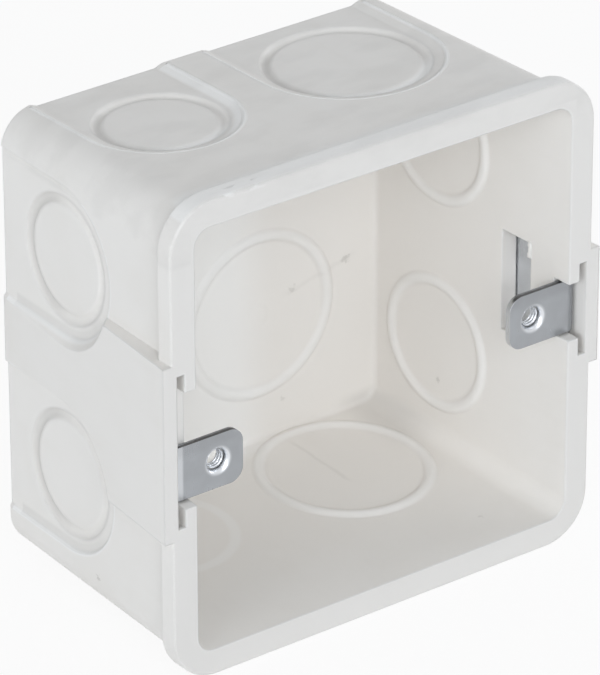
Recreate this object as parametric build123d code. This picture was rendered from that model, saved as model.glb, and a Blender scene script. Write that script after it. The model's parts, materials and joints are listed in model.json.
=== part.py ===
"""Flush mounting box: a moulded wall box with a fixed and a sliding screw lug.

Every piece is drawn about the centre of the front face, with X to the right, Y into the depth and Z up,
and is then set down so that the rim stands on Z = 0 and the depth is centred on Y = 0.
"""
import os
from math import radians, tan

from build123d import *

# Rim and walls of the moulding
RIM_SIZE = 80.0
RIM_RADIUS = 8.0
RIM_FACE = 4.4
RIM_EDGE = 0.4
LIP_BACK_EDGE = 0.6
LIP_DEPTH = 3.6
LIP_PROUD = 1.3
BOX_DEPTH = 47.0
BACK_WALL = 1.6
WALL_FRONT_RADIUS = 7.0
WALL_BACK_RADIUS = 6.3
OUTER_DRAFT_DEG = 1.5
INNER_DRAFT_DEG = 3.1
CAVITY_RADIUS = 3.0
CAVITY_FOOT = 0.8
BACK_EDGE = 0.4

# Recessed fields on the outside and the knockouts in them
FIELD_DEPTH = 0.7
FIELD_FLANK = 1.8
SIDE_FIELD_DEPTH = 0.5
SIDE_FIELD_FLANK = 0.4
CORNER_RIB = 5.2
LOWER_CORNER_RIB = 7.6
LARGE_CORNER_RIB = 6.3
KNOCKOUT_SETBACK = 16.5
SMALL_DISC = 17.4
LARGE_DISC = 23.0
FIELD_MARGIN = 4.05
DISC_SINK = 0.25
GROOVE_WIDTH = 1.9
GROOVE_DEPTH = 0.75
BACK_GROOVE_DEPTH = 0.6
RIDGE_GAP = 1.1
RIDGE_WIDTH = 2.1
RIDGE_HEIGHT = 0.6
ARC_STEPS = 5
BACK_KNOCKOUT_X = 9.8
BACK_KNOCKOUT_Z = -10.8

# Folded sheet lugs
HOLE_SPACING = 60.3
SHEET = 1.0
BEND_RADIUS = 0.6
TAB_SETBACK = 2.0
TAB_WIDTH = 9.0
TAB_END = 4.6
TAB_CORNER = 2.4
PLATE_WIDTH = 15.5
PLATE_DEPTH = 15.0
PLATE_CORNER = 1.2
THREAD_BORE = 3.5
COLLAR_WALL = 0.65
COLLAR_LENGTH = 1.5
LEAD_IN = 0.9
TONGUE_WIDTH = 4.0
TONGUE_LENGTH = 2.8
TONGUE_RISE = 0.9
LANCE_GAP = 0.3
LUG_TRAVEL = 9.8

# Pockets that hold the lugs
POCKET_INNER_WALL = 2.0
POCKET_OUTER_WALL = 2.5
POCKET_END_WALL = 1.9
SLOT_PLAY = 0.2
NOTCH_PLAY = 0.4
WINDOW_FRONT = 8.8
WINDOW_DEPTH = 6.6
WINDOW_HEIGHT = 17.4

UP = Vector(0, 0, 1)
RIGHT = Vector(1, 0, 0)
BACK = Vector(0, 1, 0)

rim_half = RIM_SIZE / 2
wall_front_half = rim_half - LIP_PROUD
outer_slope = tan(radians(OUTER_DRAFT_DEG))
inner_slope = tan(radians(INNER_DRAFT_DEG))
wall_back_half = wall_front_half - BOX_DEPTH * outer_slope
opening_half = rim_half - RIM_FACE
cavity_depth = BOX_DEPTH - BACK_WALL
knockout_depth = BOX_DEPTH - KNOCKOUT_SETBACK
hole_x = HOLE_SPACING / 2
plate_inner_x = opening_half + POCKET_INNER_WALL + SLOT_PLAY
plate_outer_x = plate_inner_x + SHEET
pocket_front_x = plate_outer_x + SLOT_PLAY + POCKET_OUTER_WALL
plate_rear = TAB_SETBACK + PLATE_DEPTH
tongue_front = WINDOW_FRONT + SLOT_PLAY


def wall_half(depth):
    """Half width of the outer walls at a depth behind the front face."""
    return wall_front_half - depth * outer_slope


def cavity_half(depth):
    """Half width of the cavity at a depth behind the front face."""
    return opening_half - depth * inner_slope


def square_section(depth, half, radius):
    """Rounded square across the box at a depth."""
    return Plane.XZ.offset(-depth) * RectangleRounded(2 * half, 2 * half, radius)


def box_from_to(low, high):
    """Axis-aligned block between two corners."""
    size = Vector(*high) - Vector(*low)
    centre = (Vector(*high) + Vector(*low)) * 0.5
    return Pos(centre) * Box(size.X, size.Y, size.Z)


def outer_shell():
    """Drafted outer block with the lip round its front."""
    block = loft([square_section(0, wall_front_half, WALL_FRONT_RADIUS),
                  square_section(BOX_DEPTH, wall_back_half, WALL_BACK_RADIUS)], ruled=True)
    block = fillet(block.faces().sort_by(Axis.Y)[-1].edges(), BACK_EDGE)
    lip = extrude(square_section(0, rim_half, RIM_RADIUS), -LIP_DEPTH)
    lip = fillet(lip.faces().sort_by(Axis.Y)[0].edges(), RIM_EDGE)
    lip = fillet(lip.faces().sort_by(Axis.Y)[-1].edges(), LIP_BACK_EDGE)
    return block + lip


def cavity():
    """Drafted space inside, with a rounded foot."""
    space = loft([square_section(0, opening_half, CAVITY_RADIUS),
                  square_section(cavity_depth, cavity_half(cavity_depth), CAVITY_RADIUS)], ruled=True)
    return fillet(space.faces().sort_by(Axis.Y)[-1].edges(), CAVITY_FOOT)


def pocket_wedge(half_height):
    """Thickened middle of the right wall that holds a lug, tapering to the wall at the back."""
    plan = make_face(Polyline((cavity_half(0), 0), (pocket_front_x, 0), (wall_back_half, BOX_DEPTH),
                              (cavity_half(0), BOX_DEPTH), close=True))
    return Pos(0, 0, -half_height) * extrude(plan, 2 * half_height)


def outside_frame(outward, centre):
    """Plane on the outside of a wall at a knockout's centre: z leaves the wall and y runs to the back."""
    origin = centre + outward * wall_half(knockout_depth)
    return Plane(origin=origin, x_dir=BACK.cross(outward), z_dir=outward + BACK * outer_slope)


def inside_frame(outward, centre):
    """Plane on the inside of a wall at a knockout's centre, with z pointing into the box."""
    origin = centre + outward * cavity_half(knockout_depth)
    return Plane(origin=origin, x_dir=BACK.cross(outward), z_dir=-outward - BACK * inner_slope)


def field_outline(radius):
    """U shape round a knockout, open towards the back of the box."""
    reach = 2 * KNOCKOUT_SETBACK
    return Circle(radius) + Pos(0, reach / 2) * Rectangle(2 * radius, reach)


def in_steps(arc):
    """Points along a small arc, so that the ring turned from it has plain conical faces."""
    return [arc @ (step / ARC_STEPS) for step in range(ARC_STEPS + 1)]


def knockout_cut(disc, groove_depth):
    """Sunk disc with a rounded groove round it, about the local Z axis."""
    edge = disc / 2
    outer = edge + GROOVE_WIDTH
    groove = ThreePointArc((edge, -DISC_SINK), (edge + GROOVE_WIDTH / 2, -groove_depth), (outer, 0))
    profile = Polyline(*in_steps(groove), (outer, GROOVE_WIDTH), (0, GROOVE_WIDTH), (0, -DISC_SINK), close=True)
    return revolve(Plane.XZ * make_face(profile), Axis.Z)


def field_cut(disc, depth, flank):
    """Recessed field with its knockout, about the local Z axis. The flank runs on through the pocket's wall."""
    radius = disc / 2 + FIELD_MARGIN
    rise = pocket_front_x - wall_back_half
    floor = Plane.XY.offset(-depth)
    top = Plane.XY.offset(rise)
    recess = loft([floor * field_outline(radius - flank), top * field_outline(radius + flank * rise / depth)],
                  ruled=True)
    return recess + floor * knockout_cut(disc, GROOVE_DEPTH)


def knockout_ridge(disc):
    """Rounded ring on the inside round a knockout, about the local Z axis."""
    inner = disc / 2 + RIDGE_GAP
    outer = inner + RIDGE_WIDTH
    crest = ThreePointArc((outer, 0), ((inner + outer) / 2, RIDGE_HEIGHT), (inner, 0))
    profile = Polyline(*in_steps(crest), (inner, -RIDGE_HEIGHT), (outer, -RIDGE_HEIGHT), close=True)
    return revolve(Plane.XZ * make_face(profile), Axis.Z)


def field_place(disc, corner_rib):
    """Distance of a knockout from the middle of its wall, from the rib left at the corner."""
    return wall_back_half - corner_rib - disc / 2 - FIELD_MARGIN


def wall_features():
    """Every field or knockout to cut and every ring to add."""
    row = [(RIGHT * -field_place(SMALL_DISC, CORNER_RIB), SMALL_DISC),
           (RIGHT * field_place(LARGE_DISC, LARGE_CORNER_RIB), LARGE_DISC)]
    column = [(UP * field_place(SMALL_DISC, CORNER_RIB), SMALL_DISC),
              (UP * -field_place(SMALL_DISC, LOWER_CORNER_RIB), SMALL_DISC)]
    walls = [(UP, row, FIELD_DEPTH, FIELD_FLANK), (-UP, row, FIELD_DEPTH, FIELD_FLANK),
             (RIGHT, column, SIDE_FIELD_DEPTH, SIDE_FIELD_FLANK),
             (-RIGHT, column, SIDE_FIELD_DEPTH, SIDE_FIELD_FLANK)]
    cuts = []
    rings = []
    for outward, places, depth, flank in walls:
        for along, disc in places:
            centre = along + BACK * knockout_depth
            cuts.append(outside_frame(outward, centre) * field_cut(disc, depth, flank))
            rings.append(inside_frame(outward, centre) * knockout_ridge(disc))
    back_outside = Plane(origin=(BACK_KNOCKOUT_X, BOX_DEPTH, BACK_KNOCKOUT_Z), z_dir=BACK)
    back_inside = Plane(origin=(BACK_KNOCKOUT_X, cavity_depth, BACK_KNOCKOUT_Z), z_dir=-BACK)
    cuts.append(back_outside * knockout_cut(LARGE_DISC, BACK_GROOVE_DEPTH))
    rings.append(back_inside * knockout_ridge(LARGE_DISC))
    return cuts, rings


def pocket_cut(travel):
    """Slot for the plate, notch for the tab and window for the tongue, in the right wall."""
    slot_half = (PLATE_WIDTH + travel) / 2 + SLOT_PLAY
    notch_half = (TAB_WIDTH + travel) / 2 + NOTCH_PLAY
    slot_inner = plate_inner_x - SLOT_PLAY
    slot_outer = plate_outer_x + SLOT_PLAY
    slot = box_from_to((slot_inner, 0, -slot_half), (slot_outer, plate_rear + SLOT_PLAY, slot_half))
    notch = box_from_to((cavity_half(0) - RIM_FACE, 0, -notch_half),
                        (slot_outer, TAB_SETBACK + SHEET + NOTCH_PLAY, notch_half))
    window = box_from_to((cavity_half(0) - RIM_FACE, WINDOW_FRONT, -WINDOW_HEIGHT / 2),
                         (slot_outer, WINDOW_FRONT + WINDOW_DEPTH, WINDOW_HEIGHT / 2))
    return slot + notch + window


def pocket_half_height(travel):
    """Half height of the thickened middle, from the slot and its end walls."""
    return (PLATE_WIDTH + travel) / 2 + SLOT_PLAY + POCKET_END_WALL


def box_body():
    """The whole moulding."""
    right = pocket_wedge(pocket_half_height(0))
    left = mirror(pocket_wedge(pocket_half_height(LUG_TRAVEL)), Plane.YZ)
    cuts, rings = wall_features()
    body = outer_shell() + right + left
    for cut in cuts:
        body -= cut
    body -= cavity()
    for ring in rings:
        body += ring
    body -= pocket_cut(0)
    body -= mirror(pocket_cut(LUG_TRAVEL), Plane.YZ)
    return body


def lug():
    """Folded sheet lug of the right side, its hole level with the middle of the box."""
    front = TAB_SETBACK
    shoulder = front + SHEET + BEND_RADIUS
    tab_end_x = hole_x - TAB_END
    fold = make_face(Polyline((tab_end_x, front), (plate_outer_x, front), (plate_outer_x, plate_rear),
                              (plate_inner_x, plate_rear), (plate_inner_x, front + SHEET),
                              (tab_end_x, front + SHEET), close=True))
    strip = Pos(0, 0, -TAB_WIDTH / 2) * extrude(fold, TAB_WIDTH)
    upright = strip.edges().filter_by(Axis.Z).group_by(Axis.Y)
    strip = fillet(upright[0].sort_by(Axis.X)[-1], BEND_RADIUS + SHEET)
    upright = strip.edges().filter_by(Axis.Z)
    strip = fillet(upright.sort_by_distance((plate_inner_x, front + SHEET, 0))[0], BEND_RADIUS)
    end_corners = strip.edges().filter_by(Axis.Y).group_by(Axis.X)[0]
    strip = fillet(end_corners, TAB_CORNER)
    plate = box_from_to((plate_inner_x, shoulder, -PLATE_WIDTH / 2),
                        (plate_outer_x, plate_rear, PLATE_WIDTH / 2))
    plate = fillet(plate.edges().filter_by(Axis.X), PLATE_CORNER)
    return threaded_collar(strip + plate - lance()) + tongue()


def threaded_collar(sheet):
    """Drawn collar behind the tab with its bore and the rounded mouth at the front."""
    mouth = Plane(origin=(hole_x, TAB_SETBACK, 0), z_dir=BACK)
    length = SHEET + COLLAR_LENGTH
    collar = mouth * extrude(Circle(THREAD_BORE / 2 + COLLAR_WALL), length)
    bore = mouth * extrude(Circle(THREAD_BORE / 2), length)
    sheet = sheet + collar - bore
    rim = sheet.edges().filter_by(GeomType.CIRCLE).sort_by_distance((hole_x, TAB_SETBACK, THREAD_BORE / 2))[0]
    return fillet(rim, LEAD_IN)


def lance():
    """Slit round the tongue in the plate."""
    half = TONGUE_WIDTH / 2 + LANCE_GAP
    return box_from_to((plate_inner_x - SHEET, tongue_front - LANCE_GAP, -half),
                       (plate_outer_x + SHEET, tongue_front + TONGUE_LENGTH, half))


def tongue():
    """Spring tongue bent into the box, its end behind the front edge of the window."""
    root = tongue_front + TONGUE_LENGTH
    plan = make_face(Polyline((plate_inner_x, root), (plate_inner_x - TONGUE_RISE, tongue_front),
                              (plate_outer_x - TONGUE_RISE, tongue_front), (plate_outer_x, root), close=True))
    return Pos(0, 0, -TONGUE_WIDTH / 2) * extrude(plan, TONGUE_WIDTH)


if __name__ == "__main__":
    os.makedirs("parts", exist_ok=True)
    seat = Pos(0, -BOX_DEPTH / 2, rim_half)
    right_lug = lug()
    left_lug = Pos(0, 0, -LUG_TRAVEL / 2) * mirror(right_lug, Plane.YZ)
    export_step(seat * box_body(), "parts/box_body.step")
    export_step(seat * left_lug, "parts/left_lug.step")
    export_step(seat * right_lug, "parts/right_lug.step")
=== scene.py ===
"""Finishes and stages a flush mounting box: plastic, zinc-plated lugs, threads and a white ground."""
import json
from math import pi, radians, tan

import bmesh
import bpy
from bpy.props import FloatProperty, FloatVectorProperty, PointerProperty
from mathutils import Euler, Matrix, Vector

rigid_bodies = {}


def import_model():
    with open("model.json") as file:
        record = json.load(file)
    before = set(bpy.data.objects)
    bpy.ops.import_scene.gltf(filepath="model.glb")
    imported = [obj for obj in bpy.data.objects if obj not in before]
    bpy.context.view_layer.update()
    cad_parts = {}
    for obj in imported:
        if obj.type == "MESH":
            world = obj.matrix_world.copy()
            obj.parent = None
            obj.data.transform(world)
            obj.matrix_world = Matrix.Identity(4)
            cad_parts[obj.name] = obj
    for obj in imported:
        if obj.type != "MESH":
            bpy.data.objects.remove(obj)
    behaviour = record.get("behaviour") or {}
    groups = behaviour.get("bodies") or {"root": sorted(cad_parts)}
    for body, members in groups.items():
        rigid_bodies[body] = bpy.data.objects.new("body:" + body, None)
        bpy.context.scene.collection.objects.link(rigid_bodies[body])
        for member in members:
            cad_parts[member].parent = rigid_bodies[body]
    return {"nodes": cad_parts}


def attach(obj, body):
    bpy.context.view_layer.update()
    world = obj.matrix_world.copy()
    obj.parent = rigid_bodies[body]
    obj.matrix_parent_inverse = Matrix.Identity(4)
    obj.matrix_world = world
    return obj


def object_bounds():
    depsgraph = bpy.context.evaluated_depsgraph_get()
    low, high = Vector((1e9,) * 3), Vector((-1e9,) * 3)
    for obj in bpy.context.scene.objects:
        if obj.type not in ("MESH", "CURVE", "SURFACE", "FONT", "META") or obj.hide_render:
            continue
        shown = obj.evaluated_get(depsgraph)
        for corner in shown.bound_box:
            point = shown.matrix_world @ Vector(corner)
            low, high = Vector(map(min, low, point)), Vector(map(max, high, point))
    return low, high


bl_info = {
    "name": "Flush mounting box",
    "version": (1, 0, 0),
    "blender": (4, 5, 0),
    "location": "3D View > Sidebar > Flush Box",
    "description": "Finishes and stages a moulded wall box with its screw lugs",
    "category": "Object",
}

for leftover in list(bpy.data.objects):
    bpy.data.objects.remove(leftover)
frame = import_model()
cad_low, cad_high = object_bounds()

MM = 0.001
WHITE = (1.0, 1.0, 1.0, 1.0)
SKY = (0.94, 0.97, 1.0, 1.0)

# Places and sizes on the moulding, in millimetres in the part's frame
FRONT_Y = round(cad_low.y / MM, 3)
BACK_Y = round(cad_high.y / MM, 3)
TOP_Z = round(cad_high.z / MM, 3)
RIM_HALF = TOP_Z / 2
MIDDLE_Z = TOP_Z - RIM_HALF
RIM_END_Y = FRONT_Y + 7.5
BACK_WALL_Y = BACK_Y - 1.6
OPENING_HALF = 35.6
INNER_SLOPE = tan(radians(3.1))
KNOCKOUT_Y = 7.0
SMALL_X = -19.52
LARGE_X = 15.62
UPPER_Z = 59.52
LOWER_Z = 22.88
BACK_X = 9.8
BACK_Z = 29.2
SMALL_RADIUS = 8.7
LARGE_RADIUS = 11.5

# Bands round a disc, as distances from its edge in millimetres: from, to and the blend at either end
CREST = (1.3, 3.0, 0.4)
GROOVE = (0.2, 1.8, 0.35)
TOP_GROOVE = (0.2, 1.9, 0.3)
SOFT_RING = (-0.8, 3.4, 0.6)
FIELD_EDGE = (3.7, 4.3, 0.25)
LIT_FLANK = (2.5, 3.9, 0.3)
SHADED_FLANK = (2.3, 3.5, 0.25)
LOW_FLANK = (2.4, 4.0, 0.4)

# Burnt specks in the plastic: place and radius in millimetres, and depth of colour
SPECKS = (
    ((27.2, BACK_WALL_Y, 34.0), 0.9, 0.24),
    ((16.5, BACK_WALL_Y, 31.6), 0.9, 0.18),
    ((33.96, 6.8, 16.2), 0.6, 0.22),
    ((24.6, -16.3, 4.8), 0.6, 0.16),
    ((14.4, BACK_WALL_Y, 12.5), 0.5, 0.14),
    ((-38.1, -1.0, 8.5), 0.6, 0.30),
)

# Flow line on the lower wall: x and y of its rear end, how it leans, how far it wanders and its run along y
FLOW_PLACE = (13.4, 19.2)
FLOW_LEAN = 0.05
FLOW_WANDER = 0.9
FLOW_RUN = (4.0, 18.2, 1.6)

# Smear on the back wall: x and z of the speck that it starts from, its rise, its wander and its run along x
SMEAR_PLACE = (16.5, 31.6)
SMEAR_RISE = 0.225
SMEAR_WANDER = 1.2
SMEAR_RUN = (15.0, 28.5, 1.5)

# Slots beside the lugs: half of their height at x = 0, what each millimetre to the right takes off it, and
# the bands across and along them
SLOT_HALF = 10.5
SLOT_SLOPE = 0.064
SLOT_ACROSS = (37.7, 38.9, 0.15)
SLOT_ALONG = (FRONT_Y + 0.6, FRONT_Y + 12.5, 0.3)

# Scuff on the top of the lip, along x
SCUFF_RUN = (-31.0, -22.6, 1.2)

# Fine relief of the surfaces and rounding of the sheet's edges, in millimetres
SKIN_RELIEF = 0.12
ZINC_RELIEF = 0.03
SHEET_EDGE = 0.14
PLASTIC_IOR = 1.45
EDGE_SAMPLES = 6

# Screw holes of the lugs: their middles, the front of the tab, the straight wall behind it and its lead-in
HOLE_X = 30.15
RIGHT_HOLE_Z = MIDDLE_Z
LEFT_HOLE_Z = 35.1
TAB_Y = FRONT_Y + 2.0
HOLE_START_Y = FRONT_Y + 2.9
HOLE_RADIUS = 1.75
HOLE_LENGTH = 1.6
LEAD_IN = 0.9

# Painted highlight on the bend of the left lug, from where it starts to where it is strongest
LEFT_BEND = (-36.4, -36.9)

# Thread: how far its foot sinks into the wall, how much of the pitch it fills, its steps in a turn, the turns
# to spare, the angle from which its edges look sharp and the reach of a weld in metres
THREAD_SINK = 0.02
THREAD_FILL = 0.92
THREAD_STEPS = 56
SPARE_TURNS = 3
SHARP_ANGLE = 40
WELD = 1e-6

# A three-sided circle of radius 1: its depth and half of its width
TRIANGLE_DEPTH = 1.5
TRIANGLE_HALF = 0.866

# Flash on the front edge of the right pocket's window: its middle and size, how far each row falls short, how
# a row leans when its gap is not the upright one, and what marks the free end of a row
FLASH_PLACE = (35.05, -14.3, 47.5)
FLASH_SIZE = (0.25, 1.3, 2.9)
FLASH_GAPS = (0.10, 0.45, 0.15, 0.60, 0.30, 0.70, 0.20, 0.55, 0.35)
FLASH_UPRIGHT_GAP = 0.4
FLASH_LEAN = 0.3
FLASH_FREE_Y = 0.2
FLASH_ROW_REACH = 0.05


class PlasticSettings(bpy.types.PropertyGroup):
    """Colours and surface of the moulding."""

    white: FloatVectorProperty(name="White", description="Colour of the clean plastic", subtype="COLOR",
                               size=4, min=0.0, max=1.0, default=(0.900, 0.877, 0.845, 1.0))
    cloud: FloatVectorProperty(name="Cloud", description="Colour of the duller patches in the plastic",
                               subtype="COLOR", size=4, min=0.0, max=1.0, default=(0.876, 0.850, 0.812, 1.0))
    # Painted bounce light: a warmer colour that stands in for light bounced between the inner walls.
    bounce_tint: FloatVectorProperty(name="Warm white", description="Colour of the plastic inside the box",
                              subtype="COLOR", size=4, min=0.0, max=1.0, default=(0.912, 0.876, 0.832, 1.0))
    # Colour of painted shade in grooves, on flanks and in slots, and of real dark dashes and soil.
    shade_and_soiling: FloatVectorProperty(name="Grime", description="Colour of dirt in grooves and slots",
                               subtype="COLOR", size=4, min=0.0, max=1.0, default=(0.42, 0.405, 0.385, 1.0))
    # Darker colour of the front face of the rim, more so towards the left.
    front_tone: FloatVectorProperty(name="Rubbed face", description="Colour of the handled front face of the rim",
                                subtype="COLOR", size=4, min=0.0, max=1.0, default=(0.82, 0.797, 0.770, 1.0))
    speck: FloatVectorProperty(name="Speck", description="Colour of burnt specks and flow lines",
                               subtype="COLOR", size=4, min=0.0, max=1.0, default=(0.26, 0.235, 0.20, 1.0))
    # Colour of painted highlights on edges, ridges and flanks, and of real pale scuffs.
    highlight_and_scuff: FloatVectorProperty(name="Worn edge", description="Colour of edges and scuffs that are rubbed pale",
                              subtype="COLOR", size=4, min=0.0, max=1.0, default=(0.975, 0.965, 0.945, 1.0))
    gloss: FloatProperty(name="Roughness", description="Roughness of the moulded skin", subtype="FACTOR",
                         min=0.0, max=1.0, default=0.52)
    edge: FloatProperty(name="Edge radius", description="Softening of the moulded edges", unit="LENGTH",
                        min=0.0, default=0.0004)
    ring_edge: FloatProperty(name="Ring softness", description="Further softening in the knockouts' rings",
                             unit="LENGTH", min=0.0, default=0.0006)
    # How far in from a convex edge the painted edge highlights and the painted shade on the lip's corner
    # reach.
    edge_shading_reach: FloatProperty(name="Wear", description="How far wear reaches in from an edge", unit="LENGTH",
                        min=0.0, default=0.00045)


class LugSettings(bpy.types.PropertyGroup):
    """Colours and thread of the screw lugs."""

    zinc: FloatVectorProperty(name="Zinc", description="Colour of the zinc plate", subtype="COLOR", size=4,
                              min=0.0, max=1.0, default=(0.400, 0.418, 0.441, 1.0))
    # Colour of painted highlights on the plate.
    bright: FloatVectorProperty(name="Bright zinc", description="Colour of the plate where it is polished",
                                subtype="COLOR", size=4, min=0.0, max=1.0, default=(0.78, 0.80, 0.83, 1.0))
    # Colour of painted dark reflection on the top and bottom edges of the sheet and of painted shade above
    # the hole.
    cut: FloatVectorProperty(name="Cut edge", description="Colour of the sheared edges of the sheet",
                             subtype="COLOR", size=4, min=0.0, max=1.0, default=(0.15, 0.15, 0.155, 1.0))
    dull: FloatVectorProperty(name="Dull zinc", description="Colour of the duller patches of the plate",
                              subtype="COLOR", size=4, min=0.0, max=1.0, default=(0.36, 0.373, 0.392, 1.0))
    gloss: FloatProperty(name="Roughness", description="Roughness of the plate", subtype="FACTOR", min=0.0,
                         max=1.0, default=0.30)
    pitch: FloatProperty(name="Pitch", description="Distance between two threads", unit="LENGTH", min=0.0001,
                         default=0.0006)
    thread_height: FloatProperty(name="Thread height", description="Height of a thread above the hole's wall",
                                 unit="LENGTH", min=0.00005, default=0.00014)


class StageSettings(bpy.types.PropertyGroup):
    """Ground, light and camera."""

    ground: FloatVectorProperty(name="Ground", description="Colour of the ground", subtype="COLOR", size=4,
                                min=0.0, max=1.0, default=(0.945, 0.945, 0.945, 1.0))
    ambient: FloatProperty(name="Ambient", description="Strength of the light from all round", min=0.0,
                           default=0.30)
    shadow: FloatProperty(name="Shadow", description="How much of the shadow shows on the ground",
                          subtype="FACTOR", min=0.0, max=1.0, default=0.09)
    lens: FloatProperty(name="Lens", description="Focal length of the camera in millimetres", unit="CAMERA",
                        min=1.0, default=324.33)
    ground_size: FloatProperty(name="Ground size", description="Width of the ground", unit="LENGTH", min=1.0,
                               default=12.0)


class Level:
    """An output socket in a finish. Arithmetic with it adds Math nodes."""

    def __init__(self, finish, socket):
        self.finish = finish
        self.socket = socket

    def math(self, operation, *others):
        """Adds a Math node that takes this socket first."""
        return self.finish.node("ShaderNodeMath", {"operation": operation}, dict(enumerate((self, *others))))

    def output(self, name):
        """Another output of the same node."""
        return Level(self.finish, self.socket.node.outputs[name])

    def __add__(self, other):
        return self.math("ADD", other)

    def __sub__(self, other):
        return self.math("SUBTRACT", other)

    def __rsub__(self, other):
        return self.finish.node("ShaderNodeMath", {"operation": "SUBTRACT"}, {0: other, 1: self})

    def __mul__(self, other):
        return self.math("MULTIPLY", other)

    def __abs__(self):
        return self.math("ABSOLUTE")

    __radd__ = __add__
    __rmul__ = __mul__

    def ramp(self, start, end):
        """0 at start, 1 at end, smooth between; start may be above end."""
        return self.finish.node("ShaderNodeMapRange", {"interpolation_type": "SMOOTHSTEP"},
                                {"Value": self, "From Min": start, "From Max": end})

    def band(self, low, high, blend):
        """1 between low and high, fading over the blend."""
        return self.ramp(low - blend, low + blend) * self.ramp(high + blend, high - blend)

    def reach(self, other):
        """Length of the line with these two offsets."""
        return (self * self + other * other).math("SQRT")


class Finish:
    """A node tree for a material or the world."""

    def __init__(self, owner):
        owner.use_nodes = True
        self.owner = owner
        self.tree = owner.node_tree
        self.tree.nodes.clear()

    def node(self, kind, settings=None, sockets=None, output=0):
        """Adds a node: its settings first, then the values or links of its sockets."""
        made = self.tree.nodes.new(kind)
        for name, value in (settings or {}).items():
            setattr(made, name, value)
        for key, value in (sockets or {}).items():
            if isinstance(value, Level):
                self.tree.links.new(value.socket, made.inputs[key])
            else:
                made.inputs[key].default_value = value
        return Level(self, made.outputs[output])

    def place(self):
        """Object coordinates in millimetres, as a vector and as x, y and z."""
        metres = self.node("ShaderNodeTexCoord", output="Object")
        place = self.node("ShaderNodeVectorMath", {"operation": "SCALE"}, {0: metres, "Scale": 1 / MM})
        x = self.node("ShaderNodeSeparateXYZ", None, {0: place})
        return place, x, x.output("Y"), x.output("Z")

    def noise(self, place, size, detail=2.0, stretch=(1.0, 1.0, 1.0)):
        """Soft noise from 0 to 1 with patches of a size in millimetres, longer where stretched."""
        scaled = self.node("ShaderNodeVectorMath", {"operation": "DIVIDE"}, {0: place, 1: stretch})
        return self.node("ShaderNodeTexNoise", None, {"Vector": scaled, "Scale": 1 / size, "Detail": detail})

    def mix(self, amount, first, second):
        """Colour between two colours."""
        return self.node("ShaderNodeMix", {"data_type": "RGBA"}, {0: amount, 6: first, 7: second}, 2)

    def surface(self, shader, kind="ShaderNodeOutputMaterial"):
        """Ends the tree with the shader and returns what the tree is for."""
        self.tree.links.new(shader.socket, self.tree.nodes.new(kind).inputs["Surface"])
        return self.owner


def spots(finish, place, raggedness, marks):
    """Mask of small ragged marks, each a place in millimetres with its radius and its depth of colour."""
    mask = 0.0
    for centre, radius, depth in marks:
        reach = finish.node("ShaderNodeVectorMath", {"operation": "DISTANCE"}, {0: place, 1: centre}, "Value")
        mask = (reach + raggedness).ramp(radius, radius * 0.3) * depth + mask
    return mask


def wall_reach(across, up, depth, on_ends):
    """Distance from the nearest disc's edge on the four walls, for a given offset in depth from the discs."""
    ends = ((across - SMALL_X).reach(depth) - SMALL_RADIUS).math(
        "MINIMUM", (across - LARGE_X).reach(depth) - LARGE_RADIUS)
    sides = (up - UPPER_Z).reach(depth).math("MINIMUM", (up - LOWER_Z).reach(depth)) - SMALL_RADIUS
    return ends * on_ends + sides * (1 - on_ends)


class Zones:
    """Distances on the moulding in millimetres, and masks that are 1 on what each is named after."""

    def __init__(self, finish):
        self.place, self.x, self.y, self.z = finish.place()
        self.height = abs(self.z - MIDDLE_Z)
        self.widest = abs(self.x).math("MAXIMUM", self.height)
        self.depth = self.y - KNOCKOUT_Y
        cavity = self.widest + (self.y - FRONT_Y) * INNER_SLOPE
        before_back = self.y.ramp(BACK_Y - 1.1, BACK_Y - 1.3)
        self.inside = cavity.ramp(OPENING_HALF + 0.9, OPENING_HALF + 0.5) * before_back
        self.outside = 1 - self.inside
        self.ends = self.height.ramp(RIM_HALF - 9.0, RIM_HALF - 8.5)
        self.rear = self.y.ramp(BACK_Y - 3.2, BACK_Y - 2.9)
        self.back_wall = self.y.ramp(BACK_WALL_Y - 0.7, BACK_WALL_Y - 0.3) * self.inside
        self.sides = self.outside * (1 - self.ends) * (1 - self.rear)
        self.walls = self.outside * self.y.band(RIM_END_Y, BACK_Y - 0.9, 0.1)
        self.top = self.z.ramp(TOP_Z - 10.0, TOP_Z - 9.0) * self.outside
        self.front = self.y.ramp(FRONT_Y + 0.5, FRONT_Y + 0.1)
        near_front = self.y.ramp(FRONT_Y + 1.0, FRONT_Y + 0.6)
        self.lip = self.widest.ramp(RIM_HALF - 1.4, RIM_HALF - 0.8) * near_front
        self.scuffed_lip = self.z.ramp(TOP_Z - 1.0, TOP_Z - 0.4) * self.x.band(*SCUFF_RUN)

        back_reach = (self.x - BACK_X).reach(self.z - BACK_Z) - LARGE_RADIUS
        walls_reach = wall_reach(self.x, self.z, self.depth, self.ends)
        self.reach = back_reach * self.rear + walls_reach * (1 - self.rear)
        self.field = wall_reach(self.x, self.z, self.depth.math("MINIMUM", 0.0), self.ends)
        self.crest = self.reach.band(*CREST) * self.inside
        self.field_edge = self.field.band(*FIELD_EDGE) * self.walls


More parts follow.
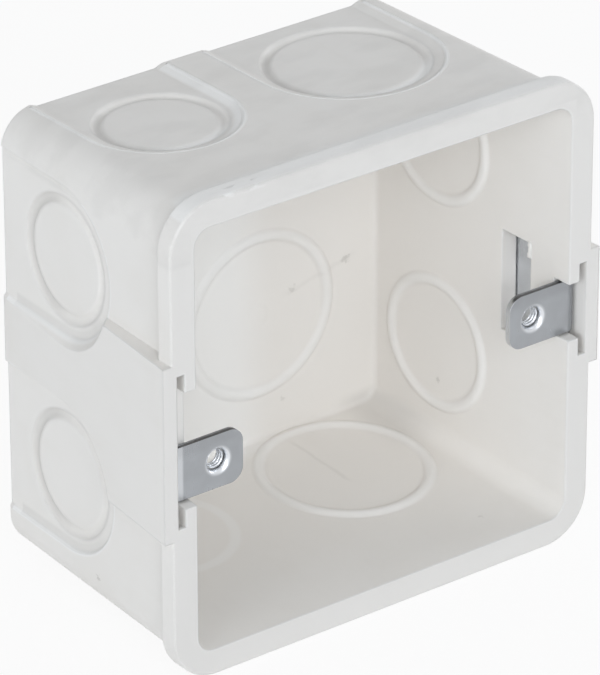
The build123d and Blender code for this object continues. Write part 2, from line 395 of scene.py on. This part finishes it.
def highlight_and_scuff_places(zones, corner, rubs):
    """Mask of painted highlights on ridge crests inside, convex edges, field edges, lit flanks, the top of
    the lip and the front of the top grooves, of painted light on the far left inside, and of a real pale
    scuff on the lip.
    """
    x, y, z = zones.x, zones.y, zones.z
    # Painted highlights on lit flanks, the top of the lip and the front of the top grooves; painted light on
    # the far left inside.
    lit_flank = zones.field.band(*LIT_FLANK) * zones.walls * zones.ends * (x - SMALL_X).band(5.0, 14.0, 2.0)
    lip_top = z.ramp(TOP_Z - 2.6, TOP_Z - 2.1) * y.ramp(RIM_END_Y, FRONT_Y + 5.0) * (1 - zones.front)
    ring_front = zones.reach.band(*TOP_GROOVE) * zones.ends * zones.outside * zones.depth.ramp(-4.0, -9.0)
    far_left = zones.inside * y.ramp(BACK_Y - 6.5, BACK_Y - 2.5) * x.ramp(14.0, 3.0)
    # A real pale scuff on the lip.
    scuff = zones.scuffed_lip * y.ramp(FRONT_Y + 1.7, FRONT_Y + 0.9) * rubs.ramp(0.42, 0.6)
    # Ridge crests, convex edges and field edges get painted highlights too.
    pale = (zones.crest * 0.45 + corner * (1 - zones.lip) * 0.6 + zones.field_edge + lit_flank + lip_top * 0.9
            + ring_front + far_left * 0.9 + scuff)
    return pale.math("MINIMUM", 1.0)


def shade_and_soiling_places(zones, corner, rubs, soil):
    """Mask of painted shade in grooves, on shaded flanks, on the far floor inside, in the slots beside the
    lugs and on the lip's corner, and of real dark dashes on the lip and soil on the top.
    """
    x, y, z = zones.x, zones.y, zones.z
    # Painted shade in the side grooves, darker towards the back, in the left parts of the top grooves, on the
    # flanks beside them and below the side discs, and on the far floor inside.
    groove = zones.reach.band(*GROOVE) * zones.sides * (zones.depth.ramp(-1.0, 5.0) * 0.32 + 0.04)
    left_of_discs = ((x - SMALL_X).ramp(-3.0, -7.0) + x.band(1.0, 8.0, 2.0)) * zones.walls * zones.ends
    top_groove = zones.reach.band(*TOP_GROOVE) * left_of_discs
    top_flank = zones.field.band(*SHADED_FLANK) * left_of_discs
    below_discs = (z - LOWER_Z).ramp(-6.0, -9.0) + (z - UPPER_Z).band(-16.0, -7.0, 1.5)
    low_flank = zones.field.band(*LOW_FLANK) * zones.sides * below_discs
    far_floor = zones.inside * z.ramp(10.0, 7.5) * y.ramp(4.0, 15.0) * x.ramp(24.0, 31.0)
    # Painted shade in the slots beside the lugs.
    beside_lug = (zones.height + x * SLOT_SLOPE).ramp(SLOT_HALF + 0.2, SLOT_HALF - 0.2)
    slot = abs(x).band(*SLOT_ACROSS) * y.band(*SLOT_ALONG) * beside_lug
    # Real dark dashes on the lip.
    dashes = zones.scuffed_lip * y.band(FRONT_Y + 1.4, FRONT_Y + 1.9, 0.2) * rubs.ramp(0.5, 0.42)
    # Painted shade on the lip's corner.
    lip_corner = corner * zones.lip * zones.height.ramp(14.9, 15.4)
    # All of it is painted shade except the dashes and the soil on the top.
    darkening = (groove + top_groove * 0.2 + top_flank * 0.1 + low_flank * 0.17 + far_floor * 0.25 + slot * 0.9
            + dashes * 0.3 + lip_corner * 0.4 + soil.ramp(0.42, 0.68) * zones.top * 0.09)
    return darkening.math("MINIMUM", 1.0)


def flow_line(zones, drift):
    """Mask of the flow line that wanders across the lower wall."""
    end_x, end_y = FLOW_PLACE
    offset = abs(zones.x - end_x - (end_y - zones.y) * FLOW_LEAN - (drift - 0.5) * FLOW_WANDER)
    return offset.ramp(0.55, 0.05) * zones.y.band(*FLOW_RUN) * zones.z.ramp(9.0, 8.5)


def smear_line(zones, drift):
    """Mask of the faint smear between the two specks on the back wall."""
    start_x, start_z = SMEAR_PLACE
    offset = abs(zones.z - start_z - (zones.x - start_x) * SMEAR_RISE - (drift - 0.5) * SMEAR_WANDER)
    return offset.ramp(0.7, 0.1) * zones.x.band(*SMEAR_RUN) * zones.back_wall


def moulded_white(settings):
    """Satin white plastic: clouded colour, painted highlights and painted shade, painted bounce light deeper
    inside, a darker front face, a scuff, soiling, flow lines, specks and a fine moulded skin.
    """
    finish = Finish(bpy.data.materials.new("moulded_white"))
    zones = Zones(finish)
    place = zones.place
    clouds = finish.noise(place, 14.0, 3.0)
    streaks = finish.noise(place, 2.2, 3.0, (1.0, 7.0, 1.0))
    rubs = finish.noise(place, 1.1, 3.0, (2.5, 1.0, 1.0))
    soil = finish.noise(place, 6.0, 6.0, (2.0, 1.0, 1.0))
    ragged = (finish.noise(place, 0.7, 3.0) - 0.5) * 2.2
    drift = finish.noise(place, 3.0, 2.0)
    skin = finish.noise(place, 0.42, 3.0)
    swell = finish.noise(place, 9.0, 1.0)
    tool_marks = finish.noise(place, 0.5, 4.0, (3.5, 0.8, 1.0)) * zones.top
    # Convex edges, for painted edge highlights and painted shade on the lip's corner.
    corner = finish.node("ShaderNodeAmbientOcclusion",
                         {"inside": True, "only_local": True, "samples": EDGE_SAMPLES},
                         {"Distance": settings.edge_shading_reach}, "AO").ramp(0.94, 0.6)

    cloudy = (clouds - 0.38).ramp(0.0, 0.34) * 0.7 + streaks.ramp(0.5, 0.75) * 0.25
    # Painted bounce light inside the box, warmer and stronger towards the back.
    painted_bounce = zones.inside * zones.y.ramp(-20.0, 6.0) * 0.7
    # The front face of the rim is darker, more so towards the left.
    front_darkening = zones.front * (zones.x.ramp(10.0, -35.0) * 0.22 + 0.6)
    flow = flow_line(zones, drift)
    marks = spots(finish, place, ragged, SPECKS) + flow * 0.10 + smear_line(zones, drift) * 0.05
    colour = settings.white[:]
    for amount, tint in (
            (cloudy, settings.cloud),
            (painted_bounce, settings.bounce_tint),
            (front_darkening, settings.front_tone),
            (highlight_and_scuff_places(zones, corner, rubs), settings.highlight_and_scuff),
            (shade_and_soiling_places(zones, corner, rubs, soil), settings.shade_and_soiling),
            (marks.math("MINIMUM", 1.0), settings.speck)):
        colour = finish.mix(amount, colour, tint[:])
    roughness = settings.gloss + (skin - 0.5) * 0.10 + (clouds - 0.5) * 0.10 - zones.crest * 0.06

    in_ring = zones.reach.band(*SOFT_RING) * (1 - zones.lip)
    radius = settings.edge + in_ring * settings.ring_edge
    soft_edge = finish.node("ShaderNodeBevel", {"samples": EDGE_SAMPLES}, {"Radius": radius})
    gate = zones.reach.ramp(-9.3, -10.3) * zones.back_wall
    height = (skin * 0.035 + swell * 0.9 + tool_marks * 0.28 + gate * 0.7 + flow * 0.15
              + zones.field_edge * zones.ends * 1.6)
    relief = finish.node("ShaderNodeBump", None, {
        "Strength": 1.0, "Distance": SKIN_RELIEF * MM, "Normal": soft_edge, "Height": height})
    return finish.surface(finish.node("ShaderNodeBsdfPrincipled", None, {
        "Base Color": colour, "Roughness": roughness, "IOR": PLASTIC_IOR, "Normal": relief}))


def zinc_plate(name, settings, hole_x, hole_z):
    """Zinc plate on sheared sheet: rolling lines, painted dark reflection on its top and bottom edges,
    painted shade above the hole and painted highlights on the hole's mouth, the left faces and the bend.
    """
    finish = Finish(bpy.data.materials.new(name))
    place, x, y, z = finish.place()
    normal = finish.node("ShaderNodeTexCoord", output="Normal")
    facing = finish.node("ShaderNodeSeparateXYZ", None, {0: normal})
    away = (x - hole_x).reach(z - hole_z)
    rolling = finish.noise(place, 0.16, 3.0, (1.0, 1.0, 14.0))
    clouds = finish.noise(place, 4.0, 2.0)
    drift = finish.noise(place, 0.8, 2.0)
    cloudy = clouds.ramp(0.3, 0.7) * 0.8 + (rolling - 0.5) * 0.25
    colour = finish.mix(cloudy, settings.zinc[:], settings.dull[:])
    # Painted highlights on the mouth of the hole, on the faces turned to the left and on the bend of the left
    # lug.
    mouth = away.ramp(HOLE_RADIUS + LEAD_IN, HOLE_RADIUS + 0.2)
    painted_highlight = mouth * 0.8 + facing.ramp(-0.3, -0.8) * 0.85 + x.ramp(*LEFT_BEND) * 0.55
    colour = finish.mix(painted_highlight.math("MINIMUM", 1.0), colour, settings.bright[:])
    sheared = abs(facing.output("Z")).ramp(0.6, 0.9) * away.ramp(HOLE_RADIUS + 1.5, HOLE_RADIUS + 1.8)
    # Painted dark reflection on the top and bottom edges of the sheet, left lighter along a real burnished
    # band.
    shaded_fracture = sheared * (1 - (y + drift * 0.5).band(TAB_Y + 0.85, TAB_Y + 1.4, 0.12) * 0.8)
    # Painted shade, darker above the hole towards the top edge.
    shade = (z - hole_z).ramp(1.8, 3.6) * 0.14
    colour = finish.mix(shaded_fracture.math("MAXIMUM", shade), colour, settings.cut[:])
    roughness = settings.gloss + (clouds - 0.5) * 0.10 + (rolling - 0.5) * 0.10 + sheared * 0.15
    soft_edge = finish.node("ShaderNodeBevel", {"samples": EDGE_SAMPLES}, {"Radius": SHEET_EDGE * MM})
    height = rolling * 0.25 + clouds
    relief = finish.node("ShaderNodeBump", None, {
        "Strength": 1.0, "Distance": ZINC_RELIEF * MM, "Normal": soft_edge, "Height": height})
    return finish.surface(finish.node("ShaderNodeBsdfPrincipled", None, {
        "Base Color": colour, "Metallic": 1.0, "Roughness": roughness, "Normal": relief}))


def seen(finish):
    """1 for a ray that shows the surface to the eye: straight, mirrored or through something clear."""
    camera = finish.node("ShaderNodeLightPath", output="Is Camera Ray")
    mirrored = camera.math("MAXIMUM", camera.output("Is Glossy Ray"))
    return mirrored.math("MAXIMUM", camera.output("Is Transmission Ray"))


def white_ground(settings):
    """Pale ground that reads white to the camera and still takes a soft shadow."""
    finish = Finish(bpy.data.materials.new("white_ground"))
    card = finish.node("ShaderNodeBsdfDiffuse", None, {"Color": settings.ground[:]})
    glow = finish.node("ShaderNodeEmission", None, {"Color": WHITE, "Strength": 1.0})
    amount = seen(finish) * (1.0 - settings.shadow)
    return finish.surface(finish.node("ShaderNodeMixShader", None, {0: amount, 1: card, 2: glow}))


def white_world(settings):
    """Even light from all round, white where it is seen."""
    finish = Finish(bpy.data.worlds.new("white_world"))
    light = finish.node("ShaderNodeBackground", None, {"Color": SKY, "Strength": settings.ambient})
    white = finish.node("ShaderNodeBackground", None, {"Color": WHITE, "Strength": 1.0})
    shader = finish.node("ShaderNodeMixShader", None, {0: seen(finish), 1: light, 2: white})
    return finish.surface(shader, "ShaderNodeOutputWorld")


def dress(node, material):
    """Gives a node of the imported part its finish."""
    for slot in frame["nodes"][node].material_slots:
        slot.material = material


def select_where(piece, test):
    """Selects the vertices of the piece in edit mode whose place passes the test."""
    mesh = bmesh.from_edit_mesh(piece.data)
    for vertex in mesh.verts:
        vertex.select = test(vertex.co)
    mesh.select_flush_mode()
    bmesh.update_edit_mesh(piece.data)


def keep_piece(piece, name, material, body):
    """Names a finished piece, gives it its finish and lets it ride on a body."""
    piece.name = name
    piece.data.name = name
    piece.data.materials.clear()
    piece.data.materials.append(material)
    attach(piece, body)


def apply_all(piece):
    """Applies the piece's modifiers in their order."""
    for modifier in list(piece.modifiers):
        bpy.ops.object.modifier_apply(modifier=modifier.name)


def screw_thread(settings, hole_x, hole_z):
    """Helical thread along the straight wall of a hole, its foot just inside the sheet."""
    pitch = settings.pitch
    foot = (HOLE_RADIUS + THREAD_SINK) * MM
    crest = HOLE_RADIUS * MM - settings.thread_height
    depth = (foot - crest) / TRIANGLE_DEPTH
    half_width = 0.5 * pitch * THREAD_FILL / TRIANGLE_HALF
    turns = int(HOLE_LENGTH * MM / pitch) + SPARE_TURNS
    bpy.ops.object.select_all(action="DESELECT")
    bpy.ops.mesh.primitive_circle_add(vertices=3, radius=MM, rotation=(0, 0, pi / 2), enter_editmode=True)
    piece = bpy.context.active_object
    bpy.ops.object.mode_set(mode="OBJECT")
    bpy.ops.object.transform_apply()
    bpy.ops.object.mode_set(mode="EDIT")
    bpy.ops.transform.resize(value=(depth / MM, half_width / MM, 1.0))
    bpy.ops.transform.translate(value=(crest + depth, -0.5 * SPARE_TURNS * pitch, 0.0))
    bpy.ops.object.mode_set(mode="OBJECT")
    screw = piece.modifiers.new("helix", "SCREW")
    screw.axis = "Y"
    screw.screw_offset = pitch
    screw.iterations = turns
    screw.steps = THREAD_STEPS
    screw.render_steps = THREAD_STEPS
    apply_all(piece)
    bpy.ops.object.mode_set(mode="EDIT")
    for end, outwards in ((0.0, -1.0), (HOLE_LENGTH * MM, 1.0)):
        bpy.ops.mesh.select_all(action="SELECT")
        bpy.ops.mesh.bisect(plane_co=(0, end, 0), plane_no=(0, outwards, 0), use_fill=True, clear_outer=True,
                            threshold=WELD)
    bpy.ops.mesh.select_all(action="SELECT")
    bpy.ops.mesh.remove_doubles(threshold=WELD)
    bpy.ops.mesh.normals_make_consistent(inside=False)
    bpy.ops.transform.translate(value=(hole_x * MM, HOLE_START_Y * MM, hole_z * MM))
    bpy.ops.object.mode_set(mode="OBJECT")
    bpy.ops.object.shade_smooth_by_angle(angle=radians(SHARP_ANGLE))
    return piece


class FLUSHBOX_OT_moulding(bpy.types.Operator):
    """Give the moulded box its white plastic"""

    bl_idname = "flush_box.moulding"
    bl_label = "Moulded box"

    def execute(self, context):
        dress("box_body", moulded_white(context.scene.flush_box_plastic))
        return {"FINISHED"}


class FLUSHBOX_OT_lugs(bpy.types.Operator):
    """Give both screw lugs their zinc plate"""

    bl_idname = "flush_box.lugs"
    bl_label = "Screw lugs"

    def execute(self, context):
        settings = context.scene.flush_box_lugs
        dress("left_lug", zinc_plate("zinc_left", settings, -HOLE_X, LEFT_HOLE_Z))
        dress("right_lug", zinc_plate("zinc_right", settings, HOLE_X, RIGHT_HOLE_Z))
        return {"FINISHED"}


class FLUSHBOX_OT_threads(bpy.types.Operator):
    """Cut the screw threads of both lugs"""

    bl_idname = "flush_box.threads"
    bl_label = "Screw threads"

    def execute(self, context):
        settings = context.scene.flush_box_lugs
        left = screw_thread(settings, -HOLE_X, LEFT_HOLE_Z)
        keep_piece(left, "left_thread", bpy.data.materials["zinc_left"], "slider")
        right = screw_thread(settings, HOLE_X, RIGHT_HOLE_Z)
        keep_piece(right, "right_thread", bpy.data.materials["zinc_right"], "box")
        return {"FINISHED"}


class FLUSHBOX_OT_flash(bpy.types.Operator):
    """Leave a ragged fin of moulding flash on the edge of the right pocket's window"""

    bl_idname = "flush_box.flash"
    bl_label = "Moulding flash"

    def execute(self, context):
        thick, deep, tall = FLASH_SIZE
        rows = len(FLASH_GAPS) - 1
        bpy.ops.object.select_all(action="DESELECT")
        bpy.ops.mesh.primitive_grid_add(x_subdivisions=rows, y_subdivisions=2, size=MM,
                                        rotation=(0, pi / 2, 0))
        piece = context.active_object
        bpy.ops.object.transform_apply()
        bpy.ops.object.mode_set(mode="EDIT")
        bpy.ops.transform.resize(value=(1.0, deep, tall))
        for row, gap in enumerate(FLASH_GAPS):
            height = (row / rows - 0.5) * tall * MM
            select_where(piece, lambda place: (place.y > FLASH_FREE_Y * MM
                                               and abs(place.z - height) < FLASH_ROW_REACH * MM))
            lean = (gap - FLASH_UPRIGHT_GAP) * FLASH_LEAN
            bpy.ops.transform.translate(value=(lean * MM, -gap * MM, 0.0))
        bpy.ops.mesh.select_all(action="SELECT")
        bpy.ops.transform.translate(value=[place * MM for place in FLASH_PLACE])
        bpy.ops.object.mode_set(mode="OBJECT")
        wall = piece.modifiers.new("wall", "SOLIDIFY")
        wall.thickness = thick * MM
        wall.offset = 0.0
        rounding = piece.modifiers.new("rounding", "SUBSURF")
        rounding.levels = 2
        rounding.render_levels = 2
        apply_all(piece)
        bpy.ops.object.shade_smooth()
        keep_piece(piece, "window_flash", bpy.data.materials["moulded_white"], "box")
        return {"FINISHED"}


class FLUSHBOX_OT_stage(bpy.types.Operator):
    """Lay the ground, hang the lights and set up the camera"""

    bl_idname = "flush_box.stage"
    bl_label = "Stage"

    # Name, turn to the left of the front, height angle, power and colour of each soft light
    LIGHTS = (
        ("front_light", 0, 14, 3.2, (0.93, 0.965, 1.0)),
        ("soft_light", 25, 25, 12.0, (0.93, 0.965, 1.0)),
        ("key_light", 65, 14, 8.7, (0.93, 0.965, 1.0)),
        ("left_light", 90, 14, 3.9, (0.93, 0.965, 1.0)),
        ("rear_light", -135, 55, 3.9, (0.95, 0.97, 1.0)),
        ("right_light", -90, 14, 13.0, (0.95, 0.97, 1.0)),
    )
    LIGHT_REACH = 2.0
    LIGHT_SIZE = 1.0
    CAMERA_PLACE = (-0.50001, -0.66247, 0.47014)
    CAMERA_TURN = (62.4618, 0.1134, -37.1828)
    CAMERA_CLIP = (0.05, 50.0)
    SENSOR = 36.0

    def execute(self, context):
        settings = context.scene.flush_box_stage
        bpy.ops.object.select_all(action="DESELECT")
        bpy.ops.mesh.primitive_plane_add(size=settings.ground_size)
        ground = context.active_object
        ground.name = "ground"
        ground.data.materials.append(white_ground(settings))
        context.scene.world = white_world(settings)
        middle = Vector((0.0, 0.0, MIDDLE_Z * MM))
        for name, turn, rise, power, colour in self.LIGHTS:
            lamp = bpy.data.lights.new(name, "AREA")
            lamp.shape = "DISK"
            lamp.size = self.LIGHT_SIZE
            lamp.energy = power
            lamp.color = colour
            light = bpy.data.objects.new(name, lamp)
            context.collection.objects.link(light)
            aim = Euler((radians(90 - rise), 0.0, -radians(turn)))
            light.rotation_euler = aim
            light.location = middle + aim.to_matrix() @ Vector((0.0, 0.0, self.LIGHT_REACH))
        lens = bpy.data.cameras.new("camera")
        lens.lens = settings.lens
        lens.sensor_width = self.SENSOR
        lens.clip_start, lens.clip_end = self.CAMERA_CLIP
        camera = bpy.data.objects.new("camera", lens)
        context.collection.objects.link(camera)
        camera.location = self.CAMERA_PLACE
        camera.rotation_euler = [radians(angle) for angle in self.CAMERA_TURN]
        context.scene.camera = camera
        context.scene.view_settings.view_transform = "Standard"
        return {"FINISHED"}


class VIEW3D_PT_flush_box(bpy.types.Panel):
    """Steps and settings of the flush mounting box"""

    bl_label = "Flush mounting box"
    bl_space_type = "VIEW_3D"
    bl_region_type = "UI"
    bl_category = "Flush Box"

    def draw(self, context):
        for operator in STEPS:
            self.layout.operator(operator.bl_idname)
        for group in GROUPS:
            settings = getattr(context.scene, group)
            box = self.layout.box()
            for name in settings.__annotations__:
                box.prop(settings, name)


STEPS = (FLUSHBOX_OT_moulding, FLUSHBOX_OT_lugs, FLUSHBOX_OT_threads, FLUSHBOX_OT_flash, FLUSHBOX_OT_stage)
GROUPS = {
    "flush_box_plastic": PlasticSettings,
    "flush_box_lugs": LugSettings,
    "flush_box_stage": StageSettings,
}


def register():
    for group, settings in GROUPS.items():
        bpy.utils.register_class(settings)
        setattr(bpy.types.Scene, group, PointerProperty(type=settings))
    for operator in STEPS:
        bpy.utils.register_class(operator)
    bpy.utils.register_class(VIEW3D_PT_flush_box)


def unregister():
    bpy.utils.unregister_class(VIEW3D_PT_flush_box)
    for operator in reversed(STEPS):
        bpy.utils.unregister_class(operator)
    for group, settings in GROUPS.items():
        delattr(bpy.types.Scene, group)
        bpy.utils.unregister_class(settings)


def main():
    """Builds the whole scene."""
    register()
    bpy.ops.flush_box.moulding()
    bpy.ops.flush_box.lugs()
    bpy.ops.flush_box.threads()
    bpy.ops.flush_box.flash()
    bpy.ops.flush_box.stage()


if __name__ == "__main__":
    main()
